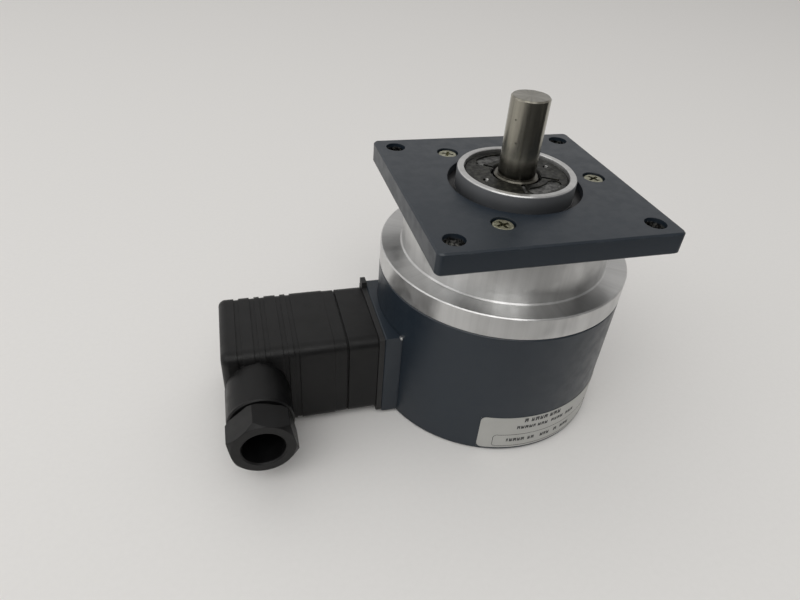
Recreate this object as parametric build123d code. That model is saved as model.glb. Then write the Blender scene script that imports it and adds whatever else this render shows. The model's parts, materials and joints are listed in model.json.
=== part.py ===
from build123d import *
from math import cos, pi, radians, sin, sqrt
import os

# Incremental rotary encoder: a round housing with a machined flange, a square adapter plate,
# a solid shaft on two ball bearings, a glass code disc with its optics and boards, and a
# square plug-in connector with a cable gland on one side.
# Units are millimetres. The origin is the centre of the rear face and +Z runs along the shaft
# towards its free end. The connector points along -X and its cable gland along -Y.

MIN_Z = (Align.CENTER, Align.CENTER, Align.MIN)

# ---- clearances and screw sizes that many parts share
TIGHT = 0.02
LOOSE = 0.1
CLEAR = 0.2
CUT = 1.0
M3_R = 1.5

# ---- housing, flange and adapter plate
BODY_R = 35.0
BODY_TOP = 41.6
CUP_WALL = 2.5
CUP_FLOOR = 3.0
CUP_EDGE = 0.6
JOINT_EDGE = 0.3
DISC_TOP = 48.2
DISC_EDGE = 0.3
NECK_R = 29.0
NECK_FOOT = 0.4
SPIGOT_LENGTH = 3.0
CUP_INNER_R = BODY_R - CUP_WALL
SPIGOT_BOTTOM = BODY_TOP - SPIGOT_LENGTH
O_RING_R = 0.8

PLATE_BOTTOM = 61.55
PLATE_THICK = 6.0
PLATE_TOP = PLATE_BOTTOM + PLATE_THICK
PLATE_SIDE = 63.5
PLATE_CORNER_R = 1.6
PLATE_EDGE = 0.45
PLATE_CENTRE_R = 18.1
CORNER_SPACING = 52.4
CORNER_HOLE_R = 2.8
PLATE_SCREW_CIRCLE_R = 24.0
PLATE_SCREW_ANGLES = (0.0, 120.0, 240.0)
PLATE_SCREW_TURNS = (25.0, 65.0, 105.0)
PLATE_SCREW_HEAD_R = 2.85
PLATE_SCREW_HEAD_H = 2.6
PLATE_SCREW_SUNK = 0.35
PLATE_SCREW_HEAD_ROUND = 0.6
PLATE_SCREW_CROSS = 3.4
PLATE_SCREW_CROSS_DEPTH = 1.3
PLATE_SCREW_RECESS_R = 3.1
PLATE_SCREW_LENGTH = 10.0

PILOT_R = 15.875
PILOT_HEIGHT = 3.5
PILOT_TOP = PLATE_TOP + PILOT_HEIGHT
PILOT_EDGE = 0.4
REGISTER_TOP = PLATE_TOP - 2.0
REGISTER_R = PLATE_CENTRE_R - TIGHT

# ---- shaft and bearings (front 12 x 28 x 8, rear 10 x 26 x 8)
SHAFT_R = 5.0
SHAFT_TOP = PLATE_TOP + 23.0
SHAFT_EDGE = 0.35
SHOULDER_TOP = 70.1
SHOULDER_EDGE = 0.4
FRONT_BORE_R = 6.0
FRONT_OUTER_R = 14.0
FRONT_PITCH_R = 10.0
FRONT_BALLS = 8
FRONT_Z = 59.2
REAR_BORE_R = 5.0
REAR_OUTER_R = 13.0
REAR_PITCH_R = 9.0
REAR_BALLS = 7
REAR_Z = 42.4
BEARING_WIDTH = 8.0
BALL_R = 2.3
GROOVE_R = 2.42
RACE_HALF_GAP = 1.7
CAGE_HALF_WALL = 0.8
CAGE_HALF_HEIGHT = 3.0
RACE_EDGE = 0.5
COLLAR_R = 7.2
BORE_LAND_R = 12.4
WAVE_SPACE = 1.2
STUB_R = 4.0
STUB_TOP = 41.0
STUB_BOTTOM = 27.0
FRONT_TOP = FRONT_Z + BEARING_WIDTH
REAR_TOP = REAR_Z + BEARING_WIDTH
BORE_SHOULDER = REAR_TOP + WAVE_SPACE
SHIELD_THICK = 0.3
SPRING_THICK = 0.3
SPRING_BUMP_R = 0.7
STUB_EDGE = 0.4

CLIP_THICK = 1.0
CLIP_GAP = 0.1
CLIP_GROOVE_R = 5.5
CLIP_OUTER_R = 7.5
REAR_CLIP_GROOVE_R = 13.6
REAR_CLIP_INNER_R = 11.2
CLIP_OPENING = 5.0

# ---- lock ring that holds the front bearing in the boss
LOCK_TOP = PILOT_TOP - 1.0
LOCK_CAP = 1.1
LOCK_EDGE = 0.5
LOCK_BORE_EDGE = 0.3
LOCK_R = 13.9
LOCK_SKIRT_R = 12.1
LOCK_BORE_R = 6.7
PIN_HOLE_R = 0.75
PIN_HOLE_CIRCLE_R = 10.3
PIN_HOLE_ANGLES = (16.0, 196.0)
POCKET_ANGLES = (106.0, -64.0)
POCKET_IN_R = 8.6
POCKET_OUT_R = 12.3
POCKET_SPAN = 42.0
POCKET_DEPTH = 0.4
SLOT_ANGLES = (139.0, -100.0, -29.0)
SLOT_WIDTH = 1.0
SLOT_DEPTH = 0.5
SLOT_STOP = 2.6

# ---- code disc and its hub
HUB_BOTTOM = 30.0
HUB_TOP = 37.0
HUB_FLANGE_TOP = 32.0
HUB_R = 7.0
HUB_FLANGE_R = 9.0
HUB_SPIGOT_R = 5.5
HUB_SPIGOT_BOTTOM = 27.0
DISC_R = 21.0
DISC_THICK = 1.2
CLAMP_TOP = HUB_BOTTOM - DISC_THICK
SET_SCREW_R = M3_R
SET_SCREW_Z = 34.5
SET_SCREW_AF = 1.5

# ---- optics and boards
OPTICS_Y = 18.0
HOLDER_HALF_X = 5.0
HOLDER_Y = (-4.0, 8.0)
READER_HALF = (7.0, 5.0)
SENSOR_HALF = 3.0
SENSOR_DEPTH = 1.0
RETICLE_HALF = (6.0, 4.5)
LED_HOLDER_BOTTOM = 31.0
LED_R = 2.5
LED_TOP = SPIGOT_BOTTOM - 1.8
READER_TOP = 27.6
RETICLE_THICK = 0.6
BOARD_R = 30.0
BOARD_THICK = 1.6
SENSOR_BOARD_Z = 20.0
MAIN_BOARD_Z = 10.0
CHIPS = ((4, -8, 10, 6, 2.2), (-8, 8, 7, 7, 1.8), (12, 8, 6, 5, 1.6))  # x, y, wide, deep, tall
CAPACITOR_R = 3.0
CAPACITOR_TALL = 6.5
CAPACITOR_SPOTS = ((-12, -12), (12, -18))
HEADER_BOX = (18.0, 22.0, -8.0, 6.0)
WIRE_R = 0.7
WIRE_Y = 3.5
WIRE_RUNS = ((1.6, -21.0), (5.4, -17.0))  # height over the board, where it leaves the board
WIRE_BEND_R = 1.4
WIRE_REACH = 2.4
PILLAR_CIRCLE_R = 25.0
PILLAR_ANGLES = (30.0, 150.0, 270.0)
PILLAR_AF = 5.5
STUD_LENGTH = 5.0
REAR_SCREW_HEAD_R = 2.9
REAR_SCREW_SUNK = 0.2
REAR_SCREW_LENGTH = 8.0

# ---- connector
CONN_Z = 15.4
BLOCK_FACE = -37.0
BLOCK_BACK = -27.0
BLOCK_HALF = 14.1
BLOCK_EDGE = 0.35
BLOCK_GAP = 0.03
WIRE_HOLE_R = 7.0
GASKET_THICK = 1.5
GASKET_CORNER_R = 0.8
TAB_INSET = 0.4
TAB_WIDTH = 3.4
TAB_HEIGHT = 2.0
BASE_IN = BLOCK_FACE - GASKET_THICK
BASE_LENGTH = 8.4
BASE_OUT = BASE_IN - BASE_LENGTH
BASE_HALF = 13.7
BASE_CORNER_R = 3.0
BASE_EDGE = 0.15
BASE_WIRE_SPACE = 3.0
BUSH_SUNK = 0.6
BLADE_TAIL = 0.5
SEAM = 0.4
SEAM_INSET = 0.8
HOOD_IN = BASE_OUT - SEAM
HOOD_LENGTH = 33.4
HOOD_OUT = HOOD_IN - HOOD_LENGTH
HOOD_HALF = 13.8
HOOD_CORNER_R = 3.0
HOOD_WALL = 2.3
HOOD_END_WALL = 4.4
HOOD_END_FILLET = 2.0
HOOD_MOUTH_EDGE = 0.15
RIB_X = (-75.7, -71.3, -68.45, -63.85, -61.0)
RIB_WIDTH = 1.4
RIB_DEPTH = 0.35
RIM_X = -50.8
RIM_DEPTH = 0.18
BLADE_OFFSET = 7.0
BLADE_WIDE = 6.3
BLADE_THIN = 0.8
BLADE_OUT = BASE_OUT - 9.5
BLADE_SLOT_GAP = 0.25
CORNER_SCREW_OFFSET = 10.0
CENTRE_SCREW_TIP = -42.0
CENTRE_HEAD_R = 3.0
CENTRE_HEAD_H = 1.8
CENTRE_HEAD_SUNK = 0.4
CENTRE_POCKET = 3.0
PAN_HEAD_R = 2.6
PAN_HEAD_H = 1.8
PAN_HEAD_CROSS = 3.0
PAN_HEAD_CROSS_DEPTH = 0.9
BLOCK_SCREW_SEAT = -29.7
BLOCK_SCREW_END = 1.0
BASE_SCREW_SUNK = 0.4
BASE_SCREW_DEPTH = 2.2
INSERT_HALF = 10.0
INSERT_IN = HOOD_IN - 1.0
INSERT_OUT = -61.0
CAVITY_FAR = -61.6
CAVITY_CORNER_R = 1.5
INSERT_CORNER_R = 1.2
TERMINAL_SCREW_R = 1.8
TERMINAL_SCREW_H = 1.4
TERMINAL_SLOT = (1.2, 0.6)
CENTRE_SLOT = (1.6, 0.9)
WIRE_SPACE_FRONT = -8.6
WIRE_SPACE_HALF = 8.0

# ---- cable gland
GLAND_X = -72.1
GLAND_Z = 15.0
BARREL_R = 8.8
BARREL_END = -24.5
BARREL_EDGE = 0.4
HUMP_R = 8.0
HUMP_RISE = 3.5
HUMP_START = -12.8
BARREL_BORE_R = 7.6
BARREL_FLOOR = -12.2
CABLE_HOLE_R = 5.0
NUT_SHANK_R = 7.53
NUT_THREAD_PITCH = 1.41
NUT_THREAD_DEPTH = 0.5
NUT_TURN = -18.0
NUT_AF = 16.2
NUT_BACK = -25.4
NUT_FRONT = -33.1
NUT_FRONT_EDGE = 1.3
NUT_BACK_EDGE = 0.7
NUT_BORE_R = 5.5
NUT_MOUTH_EDGE = 0.4
WASHER_THICK = 0.8
WASHER_HOLE_R = 4.6
SEAL_FRONT = -18.0
SEAL_HOLE_R = 3.4
SEAL_EDGE = 1.2

# ---- label on the housing wall
LABEL_Z = (1.3, 13.4)
LABEL_ANGLES = (-112.4, -6.0)
LABEL_THICK = 0.12
LABEL_CORNER_R = 1.6


# ---------------------------------------------------------------- helpers
def cyl(radius, z_low, z_high, x=0.0, y=0.0):
    """Upright cylinder between two heights."""
    return Pos(x, y, z_low) * Cylinder(radius, z_high - z_low, align=MIN_Z)


def cyl_x(radius, x_low, x_high, y=0.0, z=CONN_Z):
    """Cylinder along X, on the connector's axis unless told otherwise."""
    return Pos(x_low, y, z) * Rot(0, 90, 0) * Cylinder(radius, x_high - x_low, align=MIN_Z)


def cyl_y(radius, y_low, y_high, x=GLAND_X, z=GLAND_Z):
    """Cylinder along Y, on the gland's axis unless told otherwise."""
    return Pos(x, y_low, z) * Rot(-90, 0, 0) * Cylinder(radius, y_high - y_low, align=MIN_Z)


def ring(outer, inner, z_low, z_high):
    """Flat ring round the shaft axis."""
    return cyl(outer, z_low, z_high) - cyl(inner, z_low, z_high)


def brick(low, high):
    """Box between two opposite corners."""
    size = [b - a for a, b in zip(low, high)]
    middle = [(a + b) / 2 for a, b in zip(low, high)]
    return Pos(*middle) * Box(*size)


def polar(radius, angle):
    """X and Y of a point on a circle round the shaft axis."""
    return radius * cos(radians(angle)), radius * sin(radians(angle))


def turned(profile):
    """Solid of revolution about Z from (radius, height) points."""
    face = make_face(Polyline([(r, 0, z) for r, z in profile], close=True))
    return revolve(face, Axis.Z)


def square_bar(half, corner, x_near, x_far):
    """Bar with rounded corners that runs from x_near out to x_far, along -X."""
    plane = Plane(origin=(x_near, 0, CONN_Z), x_dir=(0, 1, 0), z_dir=(-1, 0, 0))
    outline = plane * RectangleRounded(2 * half, 2 * half, corner)
    return extrude(outline, x_near - x_far)


def hex_bar(across_flats, z_low, z_high, x=0.0, y=0.0):
    """Upright hexagonal bar with two corners on the X axis."""
    outline = RegularPolygon(across_flats / 2, 6, major_radius=False)
    return Pos(x, y, z_low) * extrude(outline, z_high - z_low)


def cross_recess(size, depth):
    """Cross-shaped screwdriver recess, cut down from the origin along -Z."""
    arm = Pos(0, 0, -depth / 2) * Box(size, size / 4, depth)
    return arm + Rot(0, 0, 90) * arm


def group(solids):
    """Separate identical pieces kept in one node."""
    return Compound(children=list(solids))


# ---------------------------------------------------------------- housing and flange
def housing_cup():
    shell = turned([
        (0, 0), (BODY_R - CUP_EDGE, 0), (BODY_R, CUP_EDGE), (BODY_R, BODY_TOP - JOINT_EDGE),
        (BODY_R - JOINT_EDGE, BODY_TOP), (CUP_INNER_R, BODY_TOP), (CUP_INNER_R, CUP_FLOOR),
        (0, CUP_FLOOR),
    ])
    shell -= cyl_x(WIRE_HOLE_R, -BODY_R - CUT, -CUP_INNER_R + CUP_WALL)
    for y in (-CORNER_SCREW_OFFSET, CORNER_SCREW_OFFSET):
        shell -= cyl_x(M3_R + LOOSE, -BODY_R - CUT, -PILLAR_CIRCLE_R, y)
    for angle in PILLAR_ANGLES:
        x, y = polar(PILLAR_CIRCLE_R, angle)
        shell -= cyl(M3_R + CLEAR, -CUT, CUP_FLOOR + CUT, x, y)
        shell -= rear_screw_cone(x, y, LOOSE)
    return shell


def rear_screw_cone(x, y, gap):
    """Countersink or head of a rear screw, wider by the gap."""
    top_r = M3_R + gap
    low_r = REAR_SCREW_HEAD_R + gap
    height = REAR_SCREW_HEAD_R - M3_R
    cone = Pos(x, y, REAR_SCREW_SUNK) * Cone(low_r, top_r, height, align=MIN_Z)
    if gap > 0:
        cone += cyl(low_r, -CUT, REAR_SCREW_SUNK, x, y)
    return cone


def rear_screws():
    screws = []
    for angle in PILLAR_ANGLES:
        x, y = polar(PILLAR_CIRCLE_R, angle)
        screw = rear_screw_cone(x, y, 0) + cyl(M3_R, REAR_SCREW_SUNK, REAR_SCREW_LENGTH, x, y)
        recess = Rot(180, 0, 0) * cross_recess(PAN_HEAD_CROSS, PAN_HEAD_CROSS_DEPTH)
        screws.append(screw - Pos(x, y, REAR_SCREW_SUNK) * recess)
    return group(screws)


def cup_o_ring():
    return Pos(0, 0, SPIGOT_BOTTOM + SPIGOT_LENGTH / 2) * Torus(CUP_INNER_R - O_RING_R - TIGHT, O_RING_R)


def flange_body():
    body = turned([
        (BORE_LAND_R, BORE_SHOULDER), (REAR_OUTER_R + TIGHT, BORE_SHOULDER),
        (REAR_OUTER_R + TIGHT, SPIGOT_BOTTOM), (CUP_INNER_R - LOOSE, SPIGOT_BOTTOM),
        (CUP_INNER_R - LOOSE, BODY_TOP), (BODY_R - DISC_EDGE, BODY_TOP),
        (BODY_R, BODY_TOP + DISC_EDGE), (BODY_R, DISC_TOP - DISC_EDGE),
        (BODY_R - DISC_EDGE, DISC_TOP), (NECK_R + NECK_FOOT, DISC_TOP),
        (NECK_R, DISC_TOP + NECK_FOOT), (NECK_R, PLATE_BOTTOM),
        (REGISTER_R, PLATE_BOTTOM), (REGISTER_R, REGISTER_TOP), (PILOT_R, REGISTER_TOP),
        (PILOT_R, PILOT_TOP - PILOT_EDGE), (PILOT_R - PILOT_EDGE, PILOT_TOP),
        (FRONT_OUTER_R + PILOT_EDGE / 2, PILOT_TOP), (FRONT_OUTER_R + TIGHT, PILOT_TOP - PILOT_EDGE / 2),
        (FRONT_OUTER_R + TIGHT, FRONT_Z), (BORE_LAND_R, FRONT_Z),
    ])
    body -= ring(REAR_CLIP_GROOVE_R + CLIP_GAP, REAR_CLIP_INNER_R, REAR_Z - CLIP_THICK - CLIP_GAP, REAR_Z)
    groove_z = SPIGOT_BOTTOM + SPIGOT_LENGTH / 2
    body -= Pos(0, 0, groove_z) * Torus(CUP_INNER_R - O_RING_R, O_RING_R + LOOSE)
    for angle in PLATE_SCREW_ANGLES:
        x, y = polar(PLATE_SCREW_CIRCLE_R, angle)
        body -= cyl(M3_R + LOOSE, PLATE_BOTTOM - PLATE_SCREW_LENGTH, PLATE_BOTTOM + CUT, x, y)
    for angle in PILLAR_ANGLES:
        x, y = polar(PILLAR_CIRCLE_R, angle)
        body -= cyl(M3_R + LOOSE, SPIGOT_BOTTOM - CUT, SPIGOT_BOTTOM + STUD_LENGTH + CUT, x, y)
    return body


def adapter_plate():
    outline = RectangleRounded(PLATE_SIDE, PLATE_SIDE, PLATE_CORNER_R)
    plate = Pos(0, 0, PLATE_BOTTOM) * extrude(outline, PLATE_THICK)
    rim = plate.faces().filter_by(Axis.Z).edges()
    plate = chamfer(rim, PLATE_EDGE)
    plate -= cyl(PLATE_CENTRE_R, PLATE_BOTTOM - CUT, PLATE_TOP + CUT)
    half = CORNER_SPACING / 2
    for x in (-half, half):
        for y in (-half, half):
            plate -= cyl(CORNER_HOLE_R, PLATE_BOTTOM - CUT, PLATE_TOP + CUT, x, y)
    recess_z = PLATE_TOP - PLATE_SCREW_SUNK - PLATE_SCREW_HEAD_H
    for angle in PLATE_SCREW_ANGLES:
        x, y = polar(PLATE_SCREW_CIRCLE_R, angle)
        plate -= cyl(M3_R + LOOSE, PLATE_BOTTOM - CUT, PLATE_TOP, x, y)
        plate -= cyl(PLATE_SCREW_RECESS_R, recess_z, PLATE_TOP + CUT, x, y)
    return plate


def plate_screws():
    top = PLATE_TOP - PLATE_SCREW_SUNK
    low = top - PLATE_SCREW_HEAD_H
    screws = []
    for number, angle in enumerate(PLATE_SCREW_ANGLES):
        x, y = polar(PLATE_SCREW_CIRCLE_R, angle)
        head = cyl(PLATE_SCREW_HEAD_R, low, top)
        head = fillet(head.faces().sort_by(Axis.Z)[-1].edges(), PLATE_SCREW_HEAD_ROUND)
        turn = PLATE_SCREW_TURNS[number]
        head -= Pos(0, 0, top) * Rot(0, 0, turn) * cross_recess(PLATE_SCREW_CROSS, PLATE_SCREW_CROSS_DEPTH)
        screws.append(Pos(x, y, 0) * head + cyl(M3_R, low - PLATE_SCREW_LENGTH, low, x, y))
    return group(screws)


def label():
    low, high = LABEL_Z
    start, end = LABEL_ANGLES
    sheet = ring(BODY_R + BLOCK_GAP + LABEL_THICK, BODY_R + BLOCK_GAP, low, high)
    wedge = make_face([
        Line((0, 0), polar(2 * BODY_R, start)),
        ThreePointArc(polar(2 * BODY_R, start), polar(2 * BODY_R, (start + end) / 2), polar(2 * BODY_R, end)),
        Line(polar(2 * BODY_R, end), (0, 0)),
    ])
    sheet &= extrude(wedge, high + CUT)
    corner = LABEL_CORNER_R
    for angle, side in ((start, 1), (end, -1)):
        for z, up in ((low, 1), (high, -1)):
            sheet -= label_corner(angle, side, z, up, corner)
    return sheet


def label_corner(angle, side, z, up, corner):
    """What a rounded label corner leaves out: a small square less a disc, cut radially."""
    centre_angle = angle + side * corner / BODY_R * 180 / pi
    centre_z = z + up * corner
    square = brick((BODY_R - CUT, -corner, -corner), (BODY_R + CUT, 0, 0))
    square -= Rot(0, 90, 0) * Cylinder(corner, 4 * BODY_R)
    if side < 0:
        square = square.mirror(Plane.XZ)
    if up < 0:
        square = square.mirror(Plane.XY)
    return Rot(0, 0, centre_angle) * Pos(0, 0, centre_z) * square


# ---------------------------------------------------------------- bearings
def race_groove(pitch_r, z_low):
    return Pos(0, 0, z_low + BEARING_WIDTH / 2) * Torus(pitch_r, GROOVE_R)


def race(outer, inner, pitch_r, z_low):
    """One bearing ring with its ball groove and broken edges."""
    top = z_low + BEARING_WIDTH
    body = turned([
        (inner, z_low + RACE_EDGE), (inner + RACE_EDGE, z_low), (outer - RACE_EDGE, z_low),
        (outer, z_low + RACE_EDGE), (outer, top - RACE_EDGE), (outer - RACE_EDGE, top),
        (inner + RACE_EDGE, top), (inner, top - RACE_EDGE),
    ])
    return body - race_groove(pitch_r, z_low)


def ball_places(pitch_r, count, z_low):
    for number in range(count):
        x, y = polar(pitch_r, 360.0 * number / count)
        yield Pos(x, y, z_low + BEARING_WIDTH / 2)


def balls(pitch_r, count, z_low):
    return group([place * Sphere(BALL_R) for place in ball_places(pitch_r, count, z_low)])


def cage(pitch_r, count, z_low):
    middle = z_low + BEARING_WIDTH / 2
    body = ring(pitch_r + CAGE_HALF_WALL, pitch_r - CAGE_HALF_WALL, middle - CAGE_HALF_HEIGHT,
                middle + CAGE_HALF_HEIGHT)
    for number in range(count):
        pocket = cyl_x(BALL_R + LOOSE, pitch_r - BALL_R, pitch_r + BALL_R, 0, middle)
        body -= Rot(0, 0, 360.0 * number / count) * pocket
    return body


def front_shield():
    return ring(FRONT_PITCH_R + RACE_HALF_GAP - TIGHT, FRONT_PITCH_R - RACE_HALF_GAP + LOOSE,
                FRONT_TOP - SHIELD_THICK - LOOSE, FRONT_TOP - LOOSE)


def wave_spring():
    """Preload washer: a flat ring with three raised spots that press on the bore shoulder."""
    low = REAR_TOP + TIGHT
    inner = REAR_PITCH_R + RACE_HALF_GAP + CLEAR
    outer = REAR_OUTER_R - CLEAR
    spring = ring(outer, inner, low, low + SPRING_THICK)
    for angle in PLATE_SCREW_ANGLES:
        x, y = polar((inner + outer) / 2, angle)
        spring += cyl(SPRING_BUMP_R, low, BORE_SHOULDER - TIGHT, x, y)
    return spring


def split_ring(outer, inner, z_low, z_high, angle):
    """Snap ring with a gap at the given angle."""
    gap = Rot(0, 0, angle) * brick((0, -CLIP_OPENING / 2, z_low), (2 * outer, CLIP_OPENING / 2, z_high))
    return ring(outer, inner, z_low, z_high) - gap


def shaft():
    groove_low = FRONT_TOP + TIGHT
    groove_high = groove_low + CLIP_THICK + TIGHT
    return turned([
        (0, STUB_BOTTOM), (STUB_R - STUB_EDGE, STUB_BOTTOM), (STUB_R, STUB_BOTTOM + STUB_EDGE),
        (STUB_R, STUB_TOP),
        (REAR_BORE_R, STUB_TOP), (REAR_BORE_R, REAR_TOP), (COLLAR_R, REAR_TOP), (COLLAR_R, FRONT_Z),
        (FRONT_BORE_R, FRONT_Z), (FRONT_BORE_R, groove_low), (CLIP_GROOVE_R, groove_low),
        (CLIP_GROOVE_R, groove_high), (FRONT_BORE_R, groove_high),
        (FRONT_BORE_R, SHOULDER_TOP - SHOULDER_EDGE), (FRONT_BORE_R - SHOULDER_EDGE, SHOULDER_TOP),
        (SHAFT_R, SHOULDER_TOP), (SHAFT_R, SHAFT_TOP - SHAFT_EDGE), (SHAFT_R - SHAFT_EDGE, SHAFT_TOP),
        (0, SHAFT_TOP),
    ])


def lock_pocket(centre_angle):
    """Kidney-shaped shallow pocket in the lock ring's face."""
    middle_r = (POCKET_IN_R + POCKET_OUT_R) / 2
    end_r = (POCKET_OUT_R - POCKET_IN_R) / 2
    z_low = LOCK_TOP - POCKET_DEPTH
    z_high = LOCK_TOP + CUT
    first = centre_angle - POCKET_SPAN / 2
    last = centre_angle + POCKET_SPAN / 2
    wedge = make_face([
        Line((0, 0), polar(2 * LOCK_R, first)),
        ThreePointArc(polar(2 * LOCK_R, first), polar(2 * LOCK_R, centre_angle), polar(2 * LOCK_R, last)),
        Line(polar(2 * LOCK_R, last), (0, 0)),
    ])
    sector = Pos(0, 0, z_low) * extrude(wedge, z_high - z_low)
    pocket = ring(POCKET_OUT_R, POCKET_IN_R, z_low, z_high) & sector
    for angle in (first, last):
        x, y = polar(middle_r, angle)
        pocket += cyl(end_r, z_low, z_high, x, y)
    return pocket


def lock_ring():
    body = turned([
        (LOCK_SKIRT_R, FRONT_TOP), (LOCK_R, FRONT_TOP), (LOCK_R, LOCK_TOP - LOCK_EDGE),
        (LOCK_R - LOCK_EDGE, LOCK_TOP), (LOCK_BORE_R + LOCK_BORE_EDGE, LOCK_TOP),
        (LOCK_BORE_R, LOCK_TOP - LOCK_BORE_EDGE), (LOCK_BORE_R, LOCK_TOP - LOCK_CAP),
        (LOCK_SKIRT_R, LOCK_TOP - LOCK_CAP),
    ])
    for angle in PIN_HOLE_ANGLES:
        x, y = polar(PIN_HOLE_CIRCLE_R, angle)
        body -= cyl(PIN_HOLE_R, LOCK_TOP - LOCK_CAP - CUT, LOCK_TOP + CUT, x, y)
    for angle in POCKET_ANGLES:
        body -= lock_pocket(angle)
    for angle in SLOT_ANGLES:
        slot = brick((LOCK_BORE_R - CUT, -SLOT_WIDTH / 2, LOCK_TOP - SLOT_DEPTH),
                     (LOCK_R - SLOT_STOP, SLOT_WIDTH / 2, LOCK_TOP + CUT))
        body -= Rot(0, 0, angle) * slot
    return body


# ---------------------------------------------------------------- code disc, optics, boards
def disc_hub():
    bore = STUB_R + TIGHT
    hub = turned([
        (bore, HUB_SPIGOT_BOTTOM), (HUB_SPIGOT_R, HUB_SPIGOT_BOTTOM), (HUB_SPIGOT_R, HUB_BOTTOM),
        (HUB_FLANGE_R, HUB_BOTTOM), (HUB_FLANGE_R, HUB_FLANGE_TOP), (HUB_R, HUB_FLANGE_TOP),
        (HUB_R, HUB_TOP), (bore, HUB_TOP),
    ])
    for turn in (0, 90):
        hub -= Rot(0, 0, turn) * cyl_x(SET_SCREW_R + LOOSE, STUB_R - CUT, HUB_R + CUT, 0, SET_SCREW_Z)
    return hub


def hub_set_screws():
    screws = []
    for turn in (0, 90):
        screw = cyl_x(SET_SCREW_R, STUB_R + TIGHT, HUB_R, 0, SET_SCREW_Z)
        socket = Pos(HUB_R, 0, SET_SCREW_Z) * Rot(0, 90, 0) * hex_bar(SET_SCREW_AF, -CUT, CUT)
        screws.append(Rot(0, 0, turn) * (screw - socket))
    return group(screws)


def code_disc():
    return ring(DISC_R, HUB_SPIGOT_R + TIGHT, CLAMP_TOP, HUB_BOTTOM)


def disc_clamp():
    return ring(HUB_FLANGE_R, HUB_SPIGOT_R + TIGHT, HUB_SPIGOT_BOTTOM, CLAMP_TOP)


def led_holder():
    near, far = HOLDER_Y
    holder = brick((-HOLDER_HALF_X, OPTICS_Y + near, LED_HOLDER_BOTTOM),
                   (HOLDER_HALF_X, OPTICS_Y + far, SPIGOT_BOTTOM))
    return holder - cyl(LED_R + LOOSE, LED_HOLDER_BOTTOM - CUT, LED_TOP + CLEAR, 0, OPTICS_Y)


def led():
    lens_z = LED_HOLDER_BOTTOM + LED_R + CLEAR
    return cyl(LED_R, lens_z, LED_TOP, 0, OPTICS_Y) + Pos(0, OPTICS_Y, lens_z) * Sphere(LED_R)


def reader_head():
    half_x, half_y = READER_HALF
    head = brick((-half_x, OPTICS_Y - half_y, SENSOR_BOARD_Z + BOARD_THICK),
                 (half_x, OPTICS_Y + half_y, READER_TOP))
    window = SENSOR_HALF + LOOSE
    return head - brick((-window, OPTICS_Y - window, READER_TOP - SENSOR_DEPTH),
                        (window, OPTICS_Y + window, READER_TOP + CUT))


def photo_sensor():
    return brick((-SENSOR_HALF, OPTICS_Y - SENSOR_HALF, READER_TOP - SENSOR_DEPTH),
                 (SENSOR_HALF, OPTICS_Y + SENSOR_HALF, READER_TOP - LOOSE))


def reticle():
    half_x, half_y = RETICLE_HALF
    return brick((-half_x, OPTICS_Y - half_y, READER_TOP),
                 (half_x, OPTICS_Y + half_y, READER_TOP + RETICLE_THICK))


def board(z_low):
    """Round circuit board with clearance holes for the pillars' studs."""
    body = cyl(BOARD_R, z_low, z_low + BOARD_THICK)
    for angle in PILLAR_ANGLES:
        x, y = polar(PILLAR_CIRCLE_R, angle)
        body -= cyl(M3_R + CLEAR, z_low - CUT, z_low + BOARD_THICK + CUT, x, y)
    return body


def pillars(z_low, z_high):
    """Hexagonal spacers, each with a stud on top and a tapped hole below."""
    posts = []
    for angle in PILLAR_ANGLES:
        x, y = polar(PILLAR_CIRCLE_R, angle)
        post = hex_bar(PILLAR_AF, z_low, z_high, x, y) + cyl(M3_R, z_high, z_high + STUD_LENGTH, x, y)
        posts.append(post - cyl(M3_R + TIGHT, z_low - CUT, z_low + STUD_LENGTH + CLEAR, x, y))
    return group(posts)


def board_chips():
    z = MAIN_BOARD_Z + BOARD_THICK
    chips = [brick((x - w / 2, y - d / 2, z), (x + w / 2, y + d / 2, z + h)) for x, y, w, d, h in CHIPS]
    return group(chips)


def capacitors():
    z = MAIN_BOARD_Z + BOARD_THICK
    return group([cyl(CAPACITOR_R, z, z + CAPACITOR_TALL, x, y) for x, y in CAPACITOR_SPOTS])


def board_header():
    """Pin header that joins the two boards."""
    low_x, high_x, low_y, high_y = HEADER_BOX
    return brick((low_x, low_y, MAIN_BOARD_Z + BOARD_THICK), (high_x, high_y, SENSOR_BOARD_Z))


def connector_wires():
    """Four insulated wires from the main board out to the connector base."""
    wires = []
    board_top = MAIN_BOARD_Z + BOARD_THICK
    for y in (-WIRE_Y, WIRE_Y):
        for rise, start in WIRE_RUNS:
            bend_z = board_top + rise
            corners = [(start, y, board_top), (start, y, bend_z), (BASE_IN - WIRE_REACH, y, bend_z)]
            path = FilletPolyline(corners, radius=WIRE_BEND_R)
            section = Plane(origin=path @ 0, z_dir=path % 0) * Circle(WIRE_R)
            wires.append(sweep(section, path))
    return group(wires)


# ---------------------------------------------------------------- connector
def corner_spots():
    offset = CORNER_SCREW_OFFSET
    return [(y, CONN_Z + z) for y in (-offset, offset) for z in (-offset, offset)]


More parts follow.
